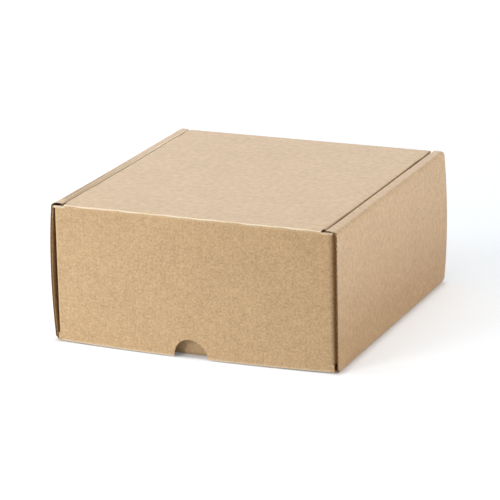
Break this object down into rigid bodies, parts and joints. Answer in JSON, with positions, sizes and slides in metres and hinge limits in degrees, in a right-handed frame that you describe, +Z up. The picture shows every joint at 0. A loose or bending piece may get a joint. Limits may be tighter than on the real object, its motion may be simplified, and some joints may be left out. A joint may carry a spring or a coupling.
{
  "type": "corrugated mailer box",
  "caption": "Closed low square mailer box folded from one sheet of brown corrugated board, with rolled side walls, a tucked lid and an outer front flap with a thumb notch.",
  "frame": {"origin": "centre of the box on the surface that it stands on", "axes": "+Z up, -Y towards the front flap, +X to the right as seen from the front"},
  "size_m": [0.2038, 0.2094, 0.094],
  "materials": {
    "board": "matte kraft liner"
  },
  "bodies": {
    "box": {"folded_box": "board"},
    "front_flap": {"front_flap": "board"}
  },
  "joints": [
    {"name": "front_flap_crease", "type": "hinge", "parent": "box", "child": "front_flap", "pos_m": [0, -0.1003, 0.094], "axis": [-1, 0, 0], "range_deg": [0, 100]}
  ]
}
